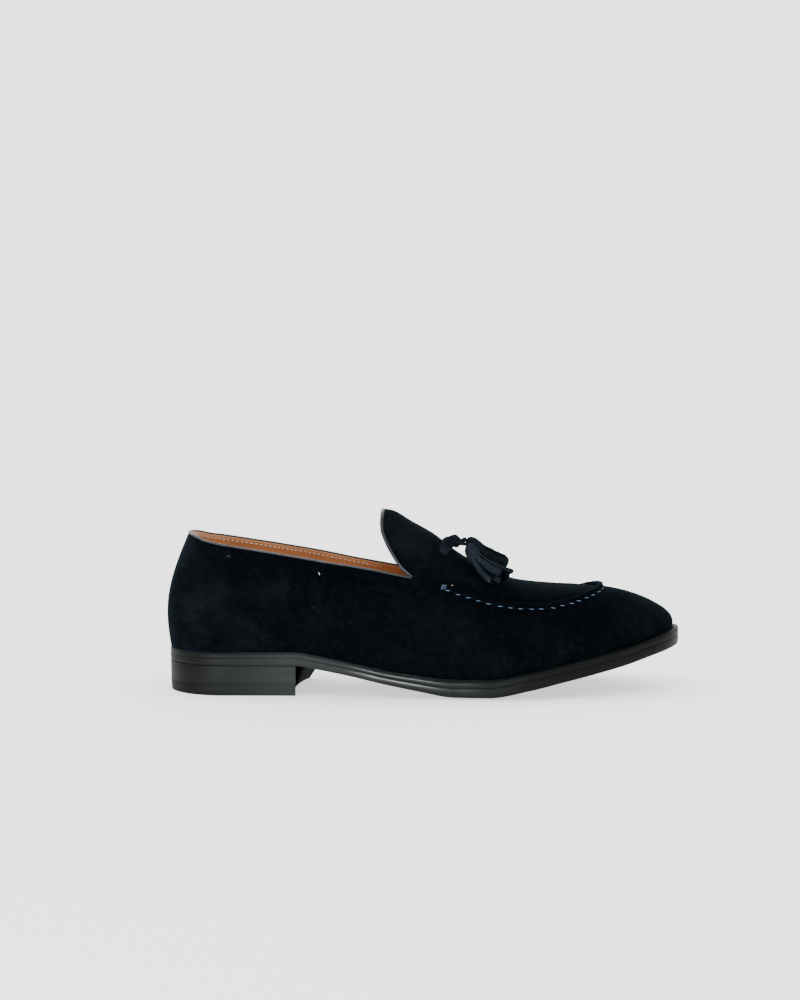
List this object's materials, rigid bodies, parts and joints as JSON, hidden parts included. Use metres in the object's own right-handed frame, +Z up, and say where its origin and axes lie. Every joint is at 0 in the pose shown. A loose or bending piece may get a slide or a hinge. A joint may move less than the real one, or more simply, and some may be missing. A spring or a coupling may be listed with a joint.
{
  "type": "tassel loafer",
  "caption": "Low slip-on dress shoe in dark suede with a raised apron seam, a laced collar with a bow and tassels, a welted sole and a stacked heel.",
  "frame": {"origin": "middle of the heel's tread, on the floor", "axes": "+X along the shoe towards the toe, +Y to the inner side of the right foot, +Z up"},
  "size_m": [0.3066, 0.1033, 0.1074],
  "materials": {
    "suede": "napped suede, very dark navy",
    "sole_edge": "inked and burnished black edge",
    "welt": "inked black, wheeled on top",
    "lift": "satin black rubber",
    "lining": "smooth tan lining leather",
    "binding": "thin smooth binding, rolled over the edge"
  },
  "bodies": {
    "root": {"top_lift": "lift", "heel_block": "sole_edge", "outsole": "sole_edge", "welt": "welt", "insole": "lining", "upper": "suede", "collar_binding": "binding", "tongue_binding": "binding", "lace_outer_rear": "suede", "lace_inner_rear": "suede", "lace_outer_front": "suede", "lace_inner_front": "suede", "bow": "suede", "tassel_outer": "suede", "tassel_inner": "suede"}
  },
  "joints": []
}
